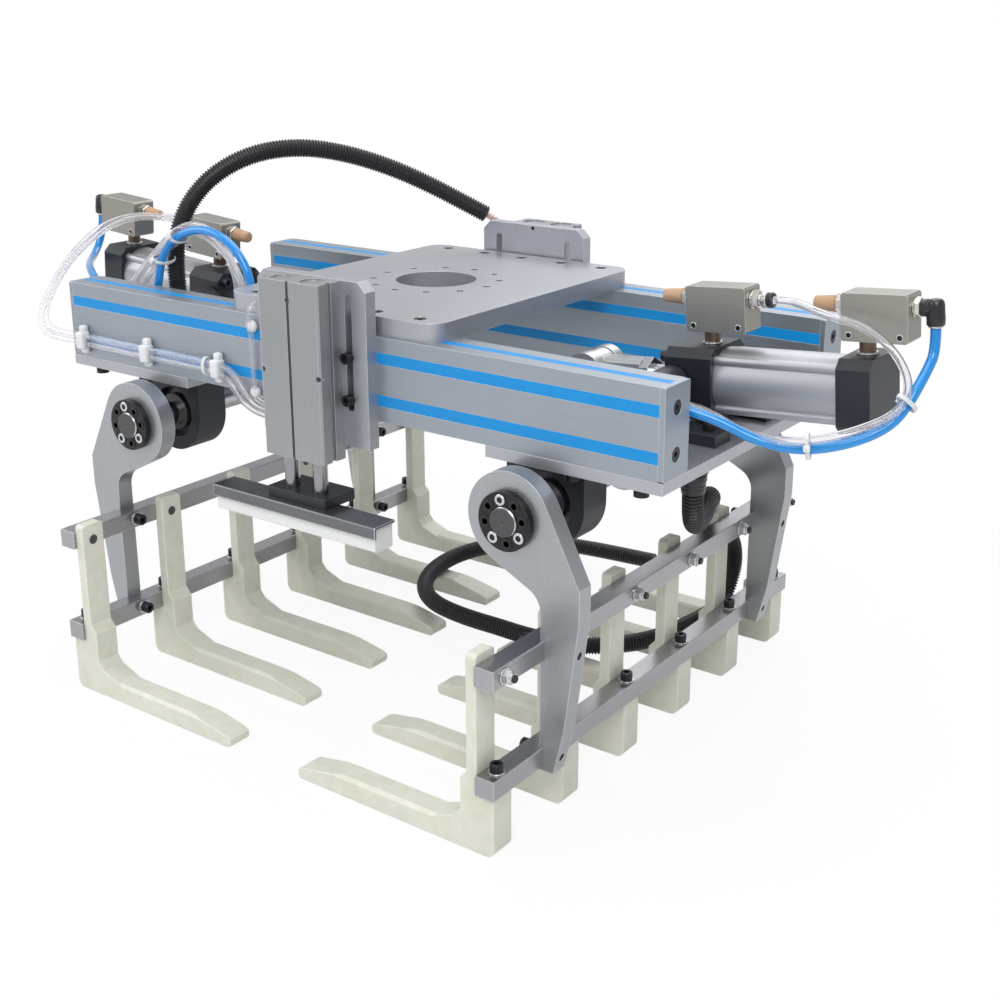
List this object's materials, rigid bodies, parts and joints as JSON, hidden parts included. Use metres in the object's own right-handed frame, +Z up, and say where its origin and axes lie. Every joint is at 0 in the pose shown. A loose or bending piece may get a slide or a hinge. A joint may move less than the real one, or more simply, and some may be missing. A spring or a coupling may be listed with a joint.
{
  "type": "robot bag gripper",
  "caption": "Robot bag gripper: two rows of curved fingers driven by air cylinders swing under a slotted beam frame with a robot flange plate, while guided press bars hold the bag down.",
  "frame": {"origin": "centre of the top face of the mounting plate, on the robot flange axis", "axes": "+X along the beams, from the left claw to the right claw; +Y across the beams, from the front press unit to the rear one; +Z up, away from the fingers"},
  "size_m": [1.187, 0.6928, 0.6234],
  "materials": {
    "machined_aluminium": "milled, satin",
    "anodised_aluminium": "satin anodised",
    "blue_strip": "satin",
    "bright_steel": "ground bright",
    "machined_steel": "zinc plated",
    "black_casting": "satin black",
    "black_screws": "black oxide",
    "cream_nylon": "moulded matte",
    "nickel_plate": "nickel grey satin",
    "white_pad": "soft matte",
    "black_plastic": "matte",
    "white_plastic": "matte",
    "clear_tube": "clear, slightly milky",
    "blue_tube": "glossy"
  },
  "bodies": {
    "frame": {"mounting_plate": "machined_aluminium", "plate_screws": "black_screws", "front_beam": "anodised_aluminium", "rear_beam": "anodised_aluminium", "end_caps": "anodised_aluminium", "end_cap_screws": "black_screws", "slot_strips": "blue_strip", "base_plates": "machined_aluminium", "frame_bolts": "black_screws", "bearing_housings": "black_casting", "bearing_inserts": "bright_steel", "trunnion_pedestals": "black_casting", "press_brackets": "machined_aluminium", "press_bodies": "anodised_aluminium", "hose_glands": "black_plastic", "tube_clips": "white_plastic", "tube_junctions": "black_plastic", "left_hose": "black_plastic", "right_hose": "black_plastic", "left_clear_tube": "clear_tube", "left_blue_tube": "blue_tube", "arch_clear_tube": "clear_tube"},
    "right_claw": {"right_shaft": "bright_steel", "right_lever": "machined_steel", "right_clevis_pin": "bright_steel", "right_arms": "machined_aluminium", "right_locking_hubs": "black_casting", "right_cross_bars": "anodised_aluminium", "right_fingers": "cream_nylon", "right_claw_bolts": "black_screws"},
    "right_cylinder": {"right_barrel": "anodised_aluminium", "right_cylinder_caps": "black_casting", "right_valves": "nickel_plate", "right_valve_fittings": "nickel_plate", "right_clear_tube": "clear_tube", "right_blue_tube": "blue_tube"},
    "right_rod": {"right_piston_rod": "bright_steel", "right_rod_knuckle": "machined_steel"},
    "left_claw": {"left_shaft": "bright_steel", "left_lever": "machined_steel", "left_clevis_pin": "bright_steel", "left_arms": "machined_aluminium", "left_locking_hubs": "black_casting", "left_cross_bars": "anodised_aluminium", "left_fingers": "cream_nylon", "left_claw_bolts": "black_screws"},
    "left_cylinder": {"left_barrel": "anodised_aluminium", "left_cylinder_caps": "black_casting", "left_valves": "nickel_plate", "left_valve_fittings": "nickel_plate"},
    "left_rod": {"left_piston_rod": "bright_steel", "left_rod_knuckle": "machined_steel"},
    "front_press": {"front_guide_rods": "bright_steel", "front_end_plate": "black_casting", "front_press_bar": "anodised_aluminium", "front_press_pad": "white_pad"},
    "rear_press": {"rear_guide_rods": "bright_steel", "rear_end_plate": "black_casting", "rear_press_bar": "anodised_aluminium", "rear_press_pad": "white_pad"}
  },
  "joints": [
    {"name": "right_claw_swing", "type": "hinge", "parent": "frame", "child": "right_claw", "pos_m": [0.27, 0, -0.165], "axis": [0, -1, 0], "range_deg": [0, 45]},
    {"name": "right_cylinder_tilt", "type": "hinge", "parent": "frame", "child": "right_cylinder", "pos_m": [0.33614, 0, -0.06286], "axis": [0, -1, 0], "range_deg": [0, 18.55]},
    {"name": "right_rod_slide", "type": "slide", "parent": "right_cylinder", "child": "right_rod", "axis": [-0.9969, 0, -0.0785], "range_m": [0, 0.0676]},
    {"name": "left_claw_swing", "type": "hinge", "parent": "frame", "child": "left_claw", "pos_m": [-0.27, 0, -0.165], "axis": [0, 1, 0], "range_deg": [0, 45]},
    {"name": "left_cylinder_tilt", "type": "hinge", "parent": "frame", "child": "left_cylinder", "pos_m": [-0.33614, 0, -0.06286], "axis": [0, 1, 0], "range_deg": [0, 18.55]},
    {"name": "left_rod_slide", "type": "slide", "parent": "left_cylinder", "child": "left_rod", "axis": [0.9969, 0, -0.0785], "range_m": [0, 0.0676]},
    {"name": "front_press_slide", "type": "slide", "parent": "frame", "child": "front_press", "axis": [0, 0, -1], "range_m": [0, 0.075]},
    {"name": "rear_press_slide", "type": "slide", "parent": "frame", "child": "rear_press", "axis": [0, 0, -1], "range_m": [0, 0.075]}
  ],
  "couplings": [
    {"joint": "right_cylinder_tilt", "follows": "right_claw_swing", "ratio": 0.41},
    {"joint": "right_rod_slide", "follows": "right_claw_swing", "m_per_rad": 0.085816},
    {"joint": "left_cylinder_tilt", "follows": "left_claw_swing", "ratio": 0.41},
    {"joint": "left_rod_slide", "follows": "left_claw_swing", "m_per_rad": 0.085816}
  ]
}
